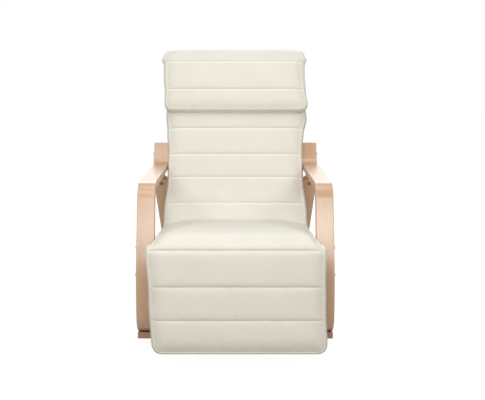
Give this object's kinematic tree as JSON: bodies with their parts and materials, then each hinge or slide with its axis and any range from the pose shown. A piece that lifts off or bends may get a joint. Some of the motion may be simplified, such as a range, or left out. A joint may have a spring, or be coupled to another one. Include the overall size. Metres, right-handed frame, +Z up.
{
  "type": "rocking recliner chair",
  "caption": "Bentwood rocking recliner chair with looped arms, quilted pad, head pillow and a footrest that folds down at the front.",
  "frame": {"origin": "on the floor at the centre of the overall box in plan, between the two rockers", "axes": "+Z up, the sitter faces -Y, +X is the sitter's left"},
  "size_m": [0.668, 1.0734, 1.0264],
  "materials": {
    "birch": "clear satin lacquer on bent birch laminate",
    "birch_shaded": "clear satin lacquer on bent birch laminate, a little darker",
    "slat_wood": "plain planed wood",
    "steel": "zinc-plated fasteners",
    "black_steel": "black powder coat",
    "nylon": "moulded black nylon",
    "fabric": "cream cotton cloth over foam, quilted in channels"
  },
  "bodies": {
    "frame": {"left_arm": "birch", "right_arm": "birch", "left_rear_leg": "birch_shaded", "right_rear_leg": "birch_shaded", "left_rocker": "birch_shaded", "right_rocker": "birch_shaded", "front_tie": "birch_shaded", "rear_tie": "birch_shaded", "tie_bolts": "steel", "tie_inserts": "steel", "left_rear_bracket": "black_steel", "right_rear_bracket": "black_steel", "bracket_bolts": "steel", "bracket_screws": "steel", "left_rail": "birch", "right_rail": "birch", "seat_front_bar": "slat_wood", "back_top_bar": "slat_wood", "bar_screws": "steel", "seat_slat_1": "slat_wood", "seat_slat_2": "slat_wood", "seat_slat_3": "slat_wood", "seat_slat_4": "slat_wood", "back_slat_1": "slat_wood", "back_slat_2": "slat_wood", "back_slat_3": "slat_wood", "back_slat_4": "slat_wood", "back_slat_5": "slat_wood", "back_slat_6": "slat_wood", "back_slat_7": "slat_wood", "slat_screws": "steel", "side_bolts": "steel", "side_nuts": "steel", "left_rack": "slat_wood", "right_rack": "slat_wood", "rack_dowels": "slat_wood", "hinge_bolts": "steel", "hinge_nuts": "steel", "hinge_washers": "nylon", "seat_cushion": "fabric", "back_cushion": "fabric"},
    "footrest": {"left_foot_rail": "birch", "right_foot_rail": "birch", "foot_end_bar": "slat_wood", "foot_bar_screws": "steel", "foot_slat_1": "slat_wood", "foot_slat_2": "slat_wood", "foot_slat_3": "slat_wood", "foot_slat_screws": "steel", "prop_pins": "steel", "prop_spacers": "nylon", "footrest_cushion": "fabric"},
    "prop": {"left_prop_arm": "black_steel", "right_prop_arm": "black_steel", "prop_bar": "black_steel"},
    "pillow": {"head_pillow": "fabric", "pillow_cap": "fabric", "pillow_flap": "fabric"}
  },
  "joints": [
    {"name": "footrest_hinge", "type": "hinge", "parent": "frame", "child": "footrest", "pos_m": [0, -0.42934, 0.36512], "axis": [-1, 0, 0], "range_deg": [0, 90]},
    {"name": "prop_hinge", "type": "hinge", "parent": "footrest", "child": "prop", "pos_m": [0, -0.453, 0.19677], "axis": [1, 0, 0], "range_deg": [0, 51.4]},
    {"name": "pillow_slide", "type": "slide", "parent": "frame", "child": "pillow", "axis": [0, 0.454, 0.891], "range_m": [0, 0.06]}
  ],
  "couplings": [
    {"joint": "prop_hinge", "follows": "footrest_hinge", "ratio": 0.571}
  ]
}
